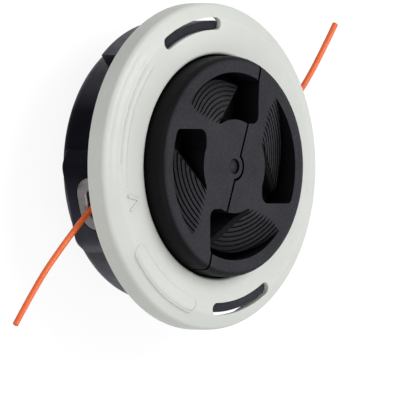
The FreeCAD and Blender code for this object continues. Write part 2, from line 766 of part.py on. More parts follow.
def grip_tools():
    """One grip: the whole recess, less the ribbed ramp that stays in it."""
    low = face - size("grip_depth")
    foot = size("grip_foot")
    far = 2 * size("knob_radius")
    tip = math.atan2(24.9, -26.6)
    room = tube(grip_inner, grip_outer, low, face + 1)
    wedge = [
        (foot / math.tan(tip), foot),
        (far * math.cos(tip), far * math.sin(tip)),
        (grip_wall, far),
        (grip_wall, foot),
    ]
    room = room.common(prism(wedge, low - 1, face + 2))
    for radius, near_hub in ((size("grip_round"), True), (size("grip_round") * 0.7, False)):
        corners = []
        for edge in room.Edges:
            box = edge.BoundBox
            upright = box.XLength < 0.01 and box.YLength < 0.01
            if upright and abs(box.XMin - grip_wall) < 0.01 and (box.YMin < foot + 1) == near_hub:
                corners.append(edge)
        room = room.makeFillet(radius, corners)

    # The ramp starts level with the face along a slanting line and sinks toward the rim.
    tip_point = Vector(-26.2 * scale, 24.3 * scale, face)
    hub_point = Vector(-5.6 * scale, foot, face)
    ramp = under(tip_point, hub_point, Vector(0, 34 * scale, face), size("grip_slope"))
    edge_line = (hub_point - tip_point).normalize()
    sink = Vector(-edge_line.y, edge_line.x, 0)

    def on_ramp(x, y):
        """A point of the ramp's surface."""
        spot = Vector(x * scale, y * scale, face)
        depth = sink.dot(spot - hub_point) * math.tan(math.radians(size("grip_slope")))
        return spot - UP * depth

    # Past its end line the ramp rolls down to the deep corner in two steps.
    deep_corner = Vector(14 * scale, 20 * scale, face)
    ramp_end = (on_ramp(-8.4, 17.2), on_ramp(9.0, 31.0))
    back = (ramp_end[1] - ramp_end[0]).cross(UP).normalize() * -1.2
    first_roll = under(ramp_end[0] + back, ramp_end[1] + back, deep_corner, size("grip_roll"))
    second_roll = under(ramp_end[0], ramp_end[1], deep_corner, size("grip_drop"))
    bank = Part.makeCylinder(grip_outer - 3.1, 60, Vector(-4.4 * scale, 0, face - 40))
    tongue_block = room.common(ramp).common(bank).common(first_roll).common(second_roll)

    lower_ramp = ramp.copy()
    lower_ramp.translate(UP * -size("groove_depth"))
    skin = ramp.cut(lower_ramp)
    for step in range(9):
        radius = grip_inner + (1.7 + 1.85 * step) * scale
        ring = tube(radius, radius + size("groove_width"), low, face + 1)
        tongue_block = tongue_block.cut(ring.common(skin))
    return room.cut(tongue_block)


grip = grip_tools()
grips = []
for quarter in range(4):
    copy = grip.copy()
    copy.rotate(ORIGIN, UP, -90 * quarter)
    grips.append(copy)

# The seam parts the knob into a fixed half and the folding handle.
lean = math.tan(math.radians(size("seam_lean")))
offset_mm = size("seam_offset")


def seam_row(shift):
    """Plan points of the seam from the upper rim to the lower rim."""
    reach = 18.6 * scale
    upper = (offset_mm + lean * reach + shift, reach)
    lower = (offset_mm - lean * reach + shift, -reach)
    return [
        (17.6 * scale + shift, 47.0 * scale),
        (14.2 * scale + shift, 34.0 * scale),
        (13.4 * scale + shift, 21.5 * scale),
        upper,
        lower,
        (-13.6 * scale + shift, -21.5 * scale),
        (-14.2 * scale + shift, -34.0 * scale),
        (-17.6 * scale + shift, -47.0 * scale),
    ]


bottom = size("spool_top")
blank_profile = [
    (size("post_radius") + 2.0, bottom),
    (20.0, bottom),
    (20.0, bottom + size("knob_relief")),
    (size("knob_radius") - 2.6, bottom + size("knob_relief")),
    (size("knob_radius") - 2.6, bottom),
    (size("knob_radius"), bottom),
    (size("knob_radius") - 0.2, face),
    (0, face),
    (0, bottom + 4.0),
    (size("post_radius") + 2.0, bottom + 4.0),
]
row = [Vector(x, 0, z) for x, z in blank_profile]
blank = Part.Face(Part.makePolygon(row + [row[0]])).revolve(ORIGIN, UP, 360)
rim = [edge for edge in blank.Edges if abs(edge.BoundBox.ZMin - face) < 0.01 and edge.BoundBox.XMax > 30]
blank = blank.makeFillet(size("knob_edge"), rim)
boss = Part.makeCylinder(size("boss_radius"), 60, Vector(0, 0, face - 40))
boss_room = Part.makeCylinder(size("boss_radius") + size("seam_gap"), 60, Vector(0, 0, face - 40))
side = 47.0 * scale
left_side = prism([(-2 * side, side)] + seam_row(0) + [(-2 * side, -side)], 0, face + 10).fuse(boss)
right_outline = seam_row(size("seam_gap")) + [(2 * side, -side), (2 * side, side)]
right_side = prism(right_outline, size("handle_z"), face + 10)
right_side = right_side.cut(boss_room)
base_part = Part.makeCylinder(80, size("bay_z"))

# Hinge at the rim of the handle: its axis runs along the seam.
hinge_turn = -size("seam_lean")
axis_point = Vector(size("hinge_reach"), 0, size("hinge_z"))
lugs = []
lug_rooms = []
for sign in (-1, 1):
    place = sign * size("lug_place")
    width = size("lug_width")
    round_lug = size("hinge_lug")
    near = axis_point + Vector(0, place - width / 2, 0)
    top = Part.makeCylinder(round_lug, width, near, Vector(0, 1, 0))
    stem_low = Vector(near.x - round_lug, near.y, size("bay_z") - 1)
    stem = Part.makeBox(2 * round_lug, width, size("hinge_z") - size("bay_z") + 1, stem_low)
    lugs.append(top.fuse(stem))
    free = round_lug + 0.3
    near_free = near - Vector(0, 0.3, 0)
    swing = Part.makeCylinder(free, width + 0.6, near_free, Vector(0, 1, 0))
    notch_low = Vector(near.x - free, near_free.y, size("handle_z") - 1)
    notch = Part.makeBox(20, width + 0.6, size("hinge_z") - size("handle_z") + 1 + free, notch_low)
    corner = Part.makeBox(20, width + 0.6, 20, Vector(near.x - 20, near_free.y, size("hinge_z")))
    lug_rooms.append(swing.fuse(notch.cut(corner)))
pin_length = 2 * size("lug_place") + size("lug_width")
pin_low = axis_point - Vector(0, pin_length / 2, 0)
pin_body = Part.makeCylinder(size("hinge_pin"), pin_length, pin_low, Vector(0, 1, 0))
pin_room = size("hinge_pin") + 0.3
pin_hole = Part.makeCylinder(pin_room, pin_length + 0.6, pin_low - Vector(0, 0.3, 0), Vector(0, 1, 0))
lug_hole = Part.makeCylinder(size("hinge_pin"), pin_length + 2, pin_low - Vector(0, 1, 0), Vector(0, 1, 0))
for shape in lugs + lug_rooms + [pin_body, pin_hole, lug_hole]:
    shape.rotate(ORIGIN, UP, hinge_turn)

fixed = blank.common(left_side.fuse(base_part))
for cutter in grips:
    fixed = fixed.cut(cutter)
dimple_low = Vector(0, 0, face - size("dimple_depth"))
dimple = Part.makeCylinder(size("dimple_radius"), size("dimple_depth") + 1, dimple_low)
fixed = fixed.cut(dimple)
for lug in lugs:
    fixed = fixed.fuse(lug.common(Part.makeCylinder(size("knob_radius") - 0.2, 100)))
fixed = fixed.cut(lug_hole)
screw_top = size("bay_z") - 0.5
for quarter in range(4):
    turn = math.radians(90 * quarter - size("knob_turn"))
    place = Vector(size("screw_reach") * math.cos(turn), size("screw_reach") * math.sin(turn), bottom - 1)
    fixed = fixed.cut(Part.makeCylinder(size("screw_radius"), screw_top - bottom + 1, place))

fold = blank.common(right_side)
for cutter in grips + lug_rooms:
    fold = fold.cut(cutter)
fold = fold.cut(pin_hole)


def biggest(shape):
    """The main solid of a result, without slivers."""
    return max(shape.Solids, key=lambda solid: solid.Volume)


rest = FreeCAD.Placement(ORIGIN, FreeCAD.Rotation(UP, size("knob_turn")))
for name, shape in (
    ("knob_body", biggest(fixed.removeSplitter())),
    ("winding_handle", biggest(fold.removeSplitter())),
    ("handle_hinge_pin", pin_body),
):
    piece = doc.addObject("Part::Feature", name)
    piece.Shape = shape
    piece.Placement = rest.multiply(shape.Placement)

# Knob screws: four alike, through the spool web into the knob.
screw_solids = []
for quarter in range(4):
    turn = math.radians(90 * quarter)
    spot = Vector(size("screw_reach") * math.cos(turn), size("screw_reach") * math.sin(turn), 0)
    head_top = size("web_z") + size("web_thick") - 2.4
    head = Part.makeCylinder(size("screw_head"), 2.0, spot + Vector(0, 0, head_top - 2.0))
    shank = Part.makeCylinder(size("screw_radius"), screw_top - head_top, spot + Vector(0, 0, head_top))
    cross = Part.makeBox(3.0, 0.8, 1.0, spot + Vector(-1.5, -0.4, head_top - 2.0))
    cross = cross.fuse(Part.makeBox(0.8, 3.0, 1.0, spot + Vector(-0.4, -1.5, head_top - 2.0)))
    screw_solids.append(head.fuse(shank).cut(cross).removeSplitter())
screws = doc.addObject("Part::Feature", "knob_screws")
screws.Shape = Part.makeCompound(screw_solids)

# Line tails: nylon line leaving the eyelets. The points are chosen by hand, as the distance past
# the face of the eyelet and the distance sideways.
TAILS = {
    "line_tail_left": (-1, [(-4.6, 0.0), (-0.4, 1.5), (11.2, 6.6), (24.4, 13.2), (38.4, 20.9), (56.0, 33.4)]),
    "line_tail_right": (1, [(-4.6, 0.0), (2.0, 0.9), (12.7, 4.9), (23.7, 10.5), (37.0, 19.5), (50.3, 30.0)]),
}


def line_tail(sign, points):
    """A round line along straight runs that are joined by tangent arcs."""
    opening = size("eyelet_height") - 2 * size("eyelet_flange") - 2 * size("eyelet_wall")
    level = size("eyelet_level") - opening / 2 + size("line_diameter") / 2 + 0.02
    row = [Vector(sign * (size("eyelet_reach") + past), sign * aside, level) for past, aside in points]
    edges = []
    here = row[0]
    for number in range(1, len(row) - 1):
        before = row[number - 1] - row[number]
        after = row[number + 1] - row[number]
        short = 0.45 * min(before.Length, after.Length)
        arc_start = row[number] + before.normalize() * short
        arc_end = row[number] + after.normalize() * short
        half = before.getAngle(after) / 2
        centre = row[number] + (before + after).normalize() * (short / math.cos(half))
        radius = short * math.tan(half)
        middle = centre + (row[number] - centre).normalize() * radius
        edges.append(Part.makeLine(here, arc_start))
        edges.append(Part.Arc(arc_start, middle, arc_end).toShape())
        here = arc_end
    edges.append(Part.makeLine(here, row[-1]))
    path = Part.Wire(edges)
    heading = (row[1] - row[0]).normalize()
    ring = Part.Wire([Part.makeCircle(size("line_diameter") / 2, row[0], heading)])
    return path.makePipeShell([ring], True, False)


for name, (sign, points) in TAILS.items():
    piece = doc.addObject("Part::Feature", name)
    piece.Shape = line_tail(sign, points)

doc.recompute()

NODES = [
    "upper_housing",
    "arbor_nut",
    "line_eyelet_left",
    "line_eyelet_right",
    "cover_ring",
    "spool",
    "line_winding_lower",
    "line_winding_upper",
    "line_tail_left",
    "line_tail_right",
    "feed_spring",
    "thrust_washer",
    "knob_body",
    "winding_handle",
    "handle_hinge_pin",
    "knob_screws",
]
for item in doc.Objects:
    state = [word for word in item.State if word in ("Invalid", "Error")]
    if state:
        raise RuntimeError("%s is not built: %s" % (item.Label, state))
os.makedirs("parts", exist_ok=True)
for name in NODES:
    shape = doc.getObject(name).Shape
    if shape.isNull() or not shape.isValid() or not shape.Solids:
        raise RuntimeError(name + " has no sound solid")
    shape.exportStep("parts/%s.step" % name)
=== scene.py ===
import math

import bpy
from mathutils import Matrix, Vector


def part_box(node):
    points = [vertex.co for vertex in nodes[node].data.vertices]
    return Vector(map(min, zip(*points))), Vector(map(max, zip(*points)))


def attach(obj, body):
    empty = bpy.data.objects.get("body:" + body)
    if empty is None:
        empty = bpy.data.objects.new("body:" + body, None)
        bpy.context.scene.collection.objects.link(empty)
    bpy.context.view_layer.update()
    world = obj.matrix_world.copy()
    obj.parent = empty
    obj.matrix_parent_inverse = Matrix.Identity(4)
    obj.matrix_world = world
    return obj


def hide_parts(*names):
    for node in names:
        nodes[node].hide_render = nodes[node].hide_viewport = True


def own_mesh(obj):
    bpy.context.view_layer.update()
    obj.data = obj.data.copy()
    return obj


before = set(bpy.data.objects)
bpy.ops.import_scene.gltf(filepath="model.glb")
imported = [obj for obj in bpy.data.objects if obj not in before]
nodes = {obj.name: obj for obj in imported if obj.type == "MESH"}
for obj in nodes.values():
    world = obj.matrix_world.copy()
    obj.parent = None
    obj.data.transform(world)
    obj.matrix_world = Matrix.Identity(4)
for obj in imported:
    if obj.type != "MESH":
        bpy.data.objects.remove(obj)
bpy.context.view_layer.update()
scene = bpy.context.scene

MM = 0.001
FULL_TURN = 2 * math.pi
RIGHT_ANGLE = math.pi / 2

# Camera: nearly parallel rays, turned on its side as in the photograph.
CAMERA_RIGHT = Vector((0.628, -0.174, 0.758))
CAMERA_UP = Vector((0.267, 0.964, 0.0))
CAMERA_BACK = CAMERA_RIGHT.cross(CAMERA_UP).normalized()
CAMERA_DISTANCE = 6.0
FRAME_WIDTH = 159.2 * MM
FRAME_RIGHT = 2.0 * MM
FRAME_DOWN = 13.3 * MM
SKIRT_CENTRE = Vector((0, 0, 36 * MM))
FRAME_CENTRE = SKIRT_CENTRE + CAMERA_RIGHT * FRAME_RIGHT - CAMERA_UP * FRAME_DOWN


def add(name, data):
    """A new object of the scene."""
    made = bpy.data.objects.new(name, data)
    scene.collection.objects.link(made)
    return made


def make_camera():
    data = bpy.data.cameras.new("camera")
    data.sensor_width = 36
    data.lens = data.sensor_width * CAMERA_DISTANCE / FRAME_WIDTH
    data.clip_start = 0.01
    data.clip_end = 20
    camera = add("camera", data)
    axes = Matrix((CAMERA_RIGHT, CAMERA_UP, CAMERA_BACK)).transposed().to_4x4()
    camera.matrix_world = Matrix.Translation(FRAME_CENTRE + CAMERA_BACK * CAMERA_DISTANCE) @ axes
    scene.camera = camera


make_camera()

# Line tails: the route points of the CAD solids, in millimetres past the eyelet's face and sideways.
LINE_DIAMETER = 2.4 * MM
EYELET_REACH = 56.8 * MM
LINE_LEVEL = 28.72 * MM
# The smooth curve cuts the corners of its route, so it is a little shorter.
TAILS = {
    "left": (-1, [(-4.6, 0.0), (-0.4, 1.5), (11.2, 6.6), (24.4, 13.2), (38.4, 20.9), (56.0, 33.4)]),
    "right": (1, [(-4.6, 0.0), (2.0, 0.9), (12.7, 4.9), (23.7, 10.5), (37.0, 19.5), (50.3, 30.0)]),
}


def make_tail(side, sign, points):
    data = bpy.data.curves.new("nylon_line_" + side, "CURVE")
    data.dimensions = "3D"
    data.bevel_depth = 1.0
    data.bevel_resolution = 8
    data.resolution_u = 16
    data.use_fill_caps = True
    spline = data.splines.new("NURBS")
    spline.points.add(len(points) - 1)
    route = []
    for past, aside in points:
        route.append(Vector((sign * (EYELET_REACH + past * MM), sign * aside * MM, LINE_LEVEL)))
    for point, place in zip(spline.points, route):
        point.co = (*place, 1)
        point.radius = LINE_DIAMETER / 2
    spline.order_u = 3
    spline.use_endpoint_u = True
    piece = add("nylon_line_" + side, data)
    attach(piece, "housing")
    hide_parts("line_tail_" + side)
    return piece


tails = [make_tail(side, sign, points) for side, (sign, points) in TAILS.items()]


def sweep(name, rings):
    """A closed mesh through a row of alike rings of points."""
    count = len(rings[0])
    faces = []
    for number in range(len(rings) - 1):
        near = count * number
        far = near + count
        for side in range(count):
            other = (side + 1) % count
            faces.append((near + side, near + other, far + other, far + side))
    last = count * (len(rings) - 1)
    faces.append(tuple(reversed(range(count))))
    faces.append(tuple(range(last, last + count)))
    data = bpy.data.meshes.new(name)
    data.from_pydata([point for ring in rings for point in ring], [], faces)
    return add(name, data)


def round_axis(angle, radius, level):
    """A point at an angle and a radius round the turning axis."""
    return (radius * math.cos(angle), radius * math.sin(angle), level)


# Stud thread: a helical ridge on the wall of the nut's bore, which the CAD leaves plain.
def make_thread():
    low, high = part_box("arbor_nut")
    bore = 4.5 * MM
    crest = 4.1 * MM
    pitch = 1.25 * MM
    foot = 0.46 * pitch
    tip = 0.08 * pitch
    first_turn = 0.75
    steps = 48
    turns = int((high.z - low.z) / pitch) - 1
    profile = ((bore, -foot), (crest, -tip), (crest, tip), (bore, foot))
    rings = []
    for step in range(turns * steps + 1):
        angle = FULL_TURN * step / steps
        level = low.z + pitch * (first_turn + step / steps)
        rings.append([round_axis(angle, radius, level + shift) for radius, shift in profile])
    piece = sweep("stud_thread", rings)
    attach(piece, "housing")
    return piece


thread = make_thread()


# Feed spring: the coil of the CAD again, as a piece with a mesh of its own.
def make_spring():
    low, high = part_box("feed_spring")
    height = high.z - low.z
    wire_radius = 1.0 * MM
    coil_radius = (high.x - low.x) / 2 - wire_radius
    turns = 5
    steps = 60
    around = 16
    section = []
    for number in range(around):
        tilt = FULL_TURN * number / around
        section.append((coil_radius + wire_radius * math.cos(tilt), wire_radius * math.sin(tilt)))
    rings = []
    for step in range(turns * steps + 1):
        angle = FULL_TURN * step / steps
        level = low.z + wire_radius + (height - 2 * wire_radius) * step / (turns * steps)
        rings.append([round_axis(angle, radius, level + shift) for radius, shift in section])
    piece = sweep("spring_coil", rings)
    for face in piece.data.polygons:
        face.use_smooth = True
    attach(piece, "housing")
    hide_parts("feed_spring")
    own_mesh(piece)
    return piece


spring = make_spring()

# Cover ring: the CAD's ring with a crisper rim, where its round shoulder becomes a slope and a small round.
RING_RADIUS = 65.0 * MM
SHOULDER = 6.8 * MM
SHOULDER_TOP = 47.4 * MM
SLOPE_START = 57.4 * MM
SLOPE_BLEND = 2.0 * MM
SLOPE = 0.48
SLOPE_END = 60.6 * MM
RIM_ROUND = 2.5 * MM
# Marks up to this deep move with the shoulder, and points further below it stay.
MARK_ROOM = 1.0 * MM
# A corner whose normal agrees this well with the old shoulder turns with it.
NORMAL_MATCH = 0.94


def shoulder_angle(radius):
    """How far the CAD's shoulder leans out: nought on the face and a right angle at the wall."""
    share = (radius - RING_RADIUS + SHOULDER) / SHOULDER
    return math.asin(min(1.0, max(0.0, share)))


def shoulder_level(radius):
    return SHOULDER_TOP - SHOULDER * (1 - math.cos(shoulder_angle(radius)))


def rim_place(radius):
    """The new radius, level and lean of a point of the shoulder."""
    past = radius - SLOPE_START
    if past < SLOPE_BLEND:
        level = SHOULDER_TOP - SLOPE * past ** 2 / (2 * SLOPE_BLEND)
        return radius, level, math.atan(SLOPE * past / SLOPE_BLEND)
    foot = SHOULDER_TOP + SLOPE * (SLOPE_START + SLOPE_BLEND / 2)
    lean = math.atan(SLOPE)
    if radius < SLOPE_END:
        return radius, foot - SLOPE * radius, lean
    first = shoulder_angle(SLOPE_END)
    share = (shoulder_angle(radius) - first) / (RIGHT_ANGLE - first)
    angle = lean + (RIGHT_ANGLE - lean) * share
    middle = RING_RADIUS - RIM_ROUND
    level = foot - SLOPE * middle - RIM_ROUND / math.cos(lean)
    return middle + RIM_ROUND * math.sin(angle), level + RIM_ROUND * math.cos(angle), angle


def leaning(out, lean):
    """The direction that leans by an angle from the turning axis to the outside."""
    return Vector((*(out * math.sin(lean)), math.cos(lean)))


def make_ring():
    data = nodes["cover_ring"].data.copy()
    data.name = "ring_cap"
    normals = [corner.vector.copy() for corner in data.corner_normals]
    moved = {}
    for vertex in data.vertices:
        radius = vertex.co.xy.length
        lift = vertex.co.z - shoulder_level(radius)
        if radius <= SLOPE_START or lift < -MARK_ROOM:
            continue
        out = vertex.co.xy.normalized()
        new_radius, level, angle = rim_place(radius)
        vertex.co = (*(out * new_radius), level + lift)
        moved[vertex.index] = (leaning(out, shoulder_angle(radius)), leaning(out, angle))
    for corner in data.loops:
        before, after = moved.get(corner.vertex_index, (None, None))
        if before and normals[corner.index].dot(before) > NORMAL_MATCH:
            normals[corner.index] = after
    data.normals_split_custom_set(normals)
    piece = add("ring_cap", data)
    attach(piece, "housing")
    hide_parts("cover_ring")
    return piece


ring = make_ring()


class Shader:
    """A material made of nodes round one Principled shader, in object coordinates."""

    # Most of a noise lies between these two values.
    NOISE_LOW = 0.3
    NOISE_HIGH = 0.7
    # How well a rounded normal agrees with the true one where an edge begins and where it is full.
    EDGE_START = 0.985
    EDGE_FULL = 0.80
    # How far a normal looks along the turning axis where a top face begins and where it is full.
    FACE_START = 0.82
    FACE_FULL = 0.99
    # How soon the bands of a swirl come up from their borders.
    SWIRL_FADE_ANGLE = math.radians(6)
    SWIRL_FADE = 0.8 * MM

    def __init__(self, name, color, roughness, metallic=0.0):
        self.material = bpy.data.materials.new(name)
        self.material.use_nodes = True
        self.tree = self.material.node_tree
        self.shader = self.tree.nodes["Principled BSDF"]
        self.place = self.node("ShaderNodeTexCoord").outputs["Object"]
        self.set("Base Color", (*color, 1))
        self.set("Roughness", roughness)
        self.set("Metallic", metallic)

    def node(self, kind, **settings):
        made = self.tree.nodes.new(kind)
        for key, value in settings.items():
            setattr(made, key, value)
        return made

    def link(self, source, target):
        self.tree.links.new(source, target)

    def fill(self, socket, value):
        if isinstance(value, bpy.types.NodeSocket):
            self.link(value, socket)
        else:
            socket.default_value = value

    def set(self, name, value):
        """Gives an input of the shader a number, a colour or the result of a node."""
        self.fill(self.shader.inputs[name], value)

    def noise(self, scale, detail=3.0, roughness=0.55, stretch=(1, 1, 1)):
        mapping = self.node("ShaderNodeMapping")
        mapping.inputs["Scale"].default_value = stretch
        self.link(self.place, mapping.inputs["Vector"])
        made = self.node("ShaderNodeTexNoise")
        made.inputs["Scale"].default_value = scale
        made.inputs["Detail"].default_value = detail
        made.inputs["Roughness"].default_value = roughness
        self.link(mapping.outputs["Vector"], made.inputs["Vector"])
        return made.outputs["Fac"]

    def cells(self, scale, smoothness=0.6):
        made = self.node("ShaderNodeTexVoronoi", feature="SMOOTH_F1")
        made.inputs["Scale"].default_value = scale
        made.inputs["Smoothness"].default_value = smoothness
        self.link(self.place, made.inputs["Vector"])
        return made.outputs["Distance"]

    def remap(self, value, source, target=(0.0, 1.0)):
        """Carries one range over to another and holds at its ends."""
        made = self.node("ShaderNodeMapRange")
        self.link(value, made.inputs["Value"])
        for key, numbers in (("From", source), ("To", target)):
            made.inputs[key + " Min"].default_value = numbers[0]
            made.inputs[key + " Max"].default_value = numbers[1]
        return made.outputs["Result"]

    def spread(self, noise, target=(0.0, 1.0)):
        """A noise stretched over a range."""
        return self.remap(noise, (self.NOISE_LOW, self.NOISE_HIGH), target)

    def math(self, operation, first, second):
        made = self.node("ShaderNodeMath", operation=operation)
        self.fill(made.inputs[0], first)
        self.fill(made.inputs[1], second)
        return made.outputs["Value"]

    def mix(self, factor, first, second):
        made = self.node("ShaderNodeMix", data_type="RGBA")
        self.fill(made.inputs["Factor"], factor)
        for key, value in (("A", first), ("B", second)):
            socket = [item for item in made.inputs if item.name == key and item.type == "RGBA"][0]
            self.fill(socket, value if isinstance(value, bpy.types.NodeSocket) else (*value, 1))
        return [item for item in made.outputs if item.type == "RGBA"][0]

    def split(self, vector):
        """The X, Y and Z of a vector."""
        made = self.node("ShaderNodeSeparateXYZ")
        self.link(vector, made.inputs["Vector"])
        return made.outputs

    def swirl(self, angles, radii, pitch):
        """Soft bands round the turning axis, from one angle to another and between two radii."""
        flat = self.node("ShaderNodeVectorMath", operation="MULTIPLY")
        self.link(self.place, flat.inputs[0])
        flat.inputs[1].default_value = (1, 1, 0)
        length = self.node("ShaderNodeVectorMath", operation="LENGTH")
        self.link(flat.outputs["Vector"], length.inputs[0])
        radius = length.outputs["Value"]
        parts = self.split(self.place)
        angle = self.math("ARCTAN2", parts["Y"], parts["X"])
        bands = self.math("SINE", self.math("MULTIPLY", radius, FULL_TURN / pitch), 0.0)
        limits = ((angle, angles, self.SWIRL_FADE_ANGLE), (radius, radii, self.SWIRL_FADE))
        for value, (low, high), fade in limits:
            bands = self.math("MULTIPLY", bands, self.remap(value, (low, low + fade)))
            bands = self.math("MULTIPLY", bands, self.remap(value, (high - fade, high), (1.0, 0.0)))
        return bands

    def edges(self, radius):
        """One along sharp edges and nought on flat faces."""
        soft = self.node("ShaderNodeBevel", samples=6)
        soft.inputs["Radius"].default_value = radius
        true = self.node("ShaderNodeNewGeometry")
        dot = self.node("ShaderNodeVectorMath", operation="DOT_PRODUCT")
        self.link(soft.outputs["Normal"], dot.inputs[0])
        self.link(true.outputs["Normal"], dot.inputs[1])
        return self.remap(dot.outputs["Value"], (self.EDGE_START, self.EDGE_FULL))

    def wear_and_edge_highlight(self, radius, noise, source, target):
        """Rubbed edges, partly wear and partly a painted highlight along the edges, broken up by a noise.
        """
        return self.math("MULTIPLY", self.edges(radius), self.remap(noise, source, target))

    def upward(self):
        """How far a face of the resting piece looks along the turning axis, from nought to one."""
        own = self.node("ShaderNodeTexCoord").outputs["Normal"]
        return self.remap(self.split(own)["Z"], (self.FACE_START, self.FACE_FULL))

    def hollows(self, distance):
        """One in the open and nought deep in corners."""
        made = self.node("ShaderNodeAmbientOcclusion", samples=8)
        made.inputs["Distance"].default_value = distance
        return made.outputs["AO"]

    def bump(self, height, distance, strength):
        """Adds a relief to those that the shader has already."""
        made = self.node("ShaderNodeBump")
        made.inputs["Strength"].default_value = strength
        made.inputs["Distance"].default_value = distance
        self.link(height, made.inputs["Height"])
        previous = self.shader.inputs["Normal"]
        if previous.links:
            self.link(previous.links[0].from_socket, made.inputs["Normal"])
        self.set("Normal", made.outputs["Normal"])


def pale_plastic():
    """Moulded nylon of the cover ring: fine grain, faint clouds and bands, painted shade in the corners."""
    dull = (0.665, 0.690, 0.648)
    light = (0.712, 0.735, 0.690)
    speck = (0.50, 0.51, 0.46)
    corner_shade = (0.36, 0.36, 0.32)
    rubbed = (0.82, 0.83, 0.80)
    made = Shader("pale_nylon", (0.70, 0.72, 0.68), 0.46)
    base = made.mix(made.spread(made.noise(38, 4)), dull, light)
    base = made.mix(made.remap(made.noise(620, 2, 0.7), (0.64, 0.78), (0.0, 0.22)), base, speck)
    # Painted shade: the colour darkens in corners and hollows, where shade falls.
    base = made.mix(made.remap(made.hollows(4 * MM), (0.35, 0.85), (0.30, 0.0)), base, corner_shade)
    # Rubbed edges, lighter: partly wear and partly a painted highlight along the edges.
    base = made.mix(made.wear_and_edge_highlight(0.5 * MM, made.noise(120, 3), (0.42, 0.62), (0.0, 0.5)), base, rubbed)
    made.set("Base Color", base)
    grain = made.noise(1500, 2)
    scuff = made.remap(made.noise(55, 5, 0.6, (1, 6, 1)), (0.5, 0.75), (0.0, 0.12))
    made.set("Roughness", made.math("ADD", made.spread(grain, (0.40, 0.52)), scuff))
    made.bump(grain, 0.12 * MM, 0.55)
    made.bump(made.cells(900), 0.06 * MM, 0.35)
    band_angles = (math.radians(116), math.radians(170))
    band_radii = (54 * MM, 63.5 * MM)
    band_pitch = 3.2 * MM
    made.bump(made.swirl(band_angles, band_radii, band_pitch), 0.13 * MM, 0.8)
    made.set("Specular IOR Level", 0.42)
    made.set("Subsurface Weight", 0.05)
    made.set("Subsurface Radius", (1.6 * MM, 1.5 * MM, 1.3 * MM))
    return made.material


def black_plastic():
    """Glass-filled nylon of the housing: near black with a cool sheen, graded along Y as a painted
    reflection, and pale edges, partly rubbed and partly a painted highlight.
    """
    dark = (0.0030, 0.0029, 0.0052)
    light = (0.0064, 0.0062, 0.0105)
    fibre = (0.019, 0.0185, 0.027)
    rubbed = (0.036, 0.036, 0.042)
    made = Shader("black_nylon", (0.006, 0.0062, 0.0085), 0.44)
    base = made.mix(made.spread(made.noise(45, 4)), dark, light)
    base = made.mix(made.remap(made.noise(420, 3, 0.7, (1, 1, 4)), (0.60, 0.78), (0.0, 0.30)), base, fibre)
    # Rubbed edges, paler: partly wear and partly a painted highlight along the edges.
    base = made.mix(made.wear_and_edge_highlight(0.6 * MM, made.noise(150, 4), (0.40, 0.66), (0.0, 0.5)), base, rubbed)
    made.set("Base Color", base)
    made.set("Roughness", made.spread(made.noise(300, 3), (0.38, 0.52)))
    made.bump(made.noise(1300, 2), 0.10 * MM, 0.5)
    # Painted reflection: the sheen is weak half way along Y and stronger towards both sides, patchy, and
    # weaker on top faces, standing in for dark and light reflections that the stage does not give.
    along = made.split(made.place)["Y"]
    lower = made.remap(along, (-32 * MM, 12 * MM), (0.48, 0.03))
    upper = made.remap(along, (32 * MM, 52 * MM), (0.0, 0.34))
    painted_sheen = made.math("MAXIMUM", lower, upper)
    painted_sheen = made.math("MULTIPLY", painted_sheen, made.remap(made.noise(40, 3), (0.35, 0.65), (0.75, 1.25)))
    painted_sheen = made.math("MULTIPLY", painted_sheen, made.remap(made.upward(), (0.0, 1.0), (1.0, 0.4)))
    made.set("Specular IOR Level", painted_sheen)
    made.set("Specular Tint", (0.80, 0.78, 1.0, 1.0))
    return made.material


def knob_plastic(name):
    """Charcoal moulding of the knob: a spark-eroded matt face, walls painted darker as shade, and painted
    shade in the ramps and pockets.
    """
    face_dark = (0.0205, 0.0192, 0.0242)
    face_light = (0.0330, 0.0314, 0.0375)
    face_speck = (0.062, 0.060, 0.070)
    wall_shade_dark = (0.0030, 0.0030, 0.0036)
    wall_shade_light = (0.0055, 0.0055, 0.0064)
    hollow_shade = (0.0045, 0.0042, 0.0055)
    pocket_shade = (0.0010, 0.0010, 0.0012)
    rubbed = (0.060, 0.058, 0.066)
    made = Shader(name, (0.034, 0.032, 0.038), 0.55)
    cloud = made.spread(made.noise(60, 4))
    face = made.mix(cloud, face_dark, face_light)
    face = made.mix(made.remap(made.noise(900, 3, 0.75), (0.52, 0.72), (0.0, 0.6)), face, face_speck)
    # Painted shade: the walls are darker than the top face, as if light falls from above.
    base = made.mix(made.upward(), made.mix(cloud, wall_shade_dark, wall_shade_light), face)
    # Painted shade: darker in the ramps and hollows, and near black deep in the pockets.
    base = made.mix(made.remap(made.hollows(16 * MM), (0.55, 0.985), (0.85, 0.0)), base, hollow_shade)
    deep = made.remap(made.hollows(8 * MM), (0.25, 0.80), (0.97, 0.0))
    base = made.mix(deep, base, pocket_shade)
    # Rubbed edges, lighter: partly wear and partly a painted highlight along the edges, kept out of the
    # pockets.
    wear_and_edge_highlight = made.wear_and_edge_highlight(0.40 * MM, made.noise(130, 4), (0.42, 0.68), (0.05, 0.5))
    wear_and_edge_highlight = made.math("MULTIPLY", wear_and_edge_highlight, made.remap(deep, (0.0, 0.5), (1.0, 0.0)))
    made.set("Base Color", made.mix(wear_and_edge_highlight, base, rubbed))
    grain = made.noise(1150, 2)
    made.set("Roughness", made.spread(grain, (0.46, 0.60)))
    made.bump(grain, 0.14 * MM, 0.6)
    made.set("Specular IOR Level", 0.07)
    return made.material


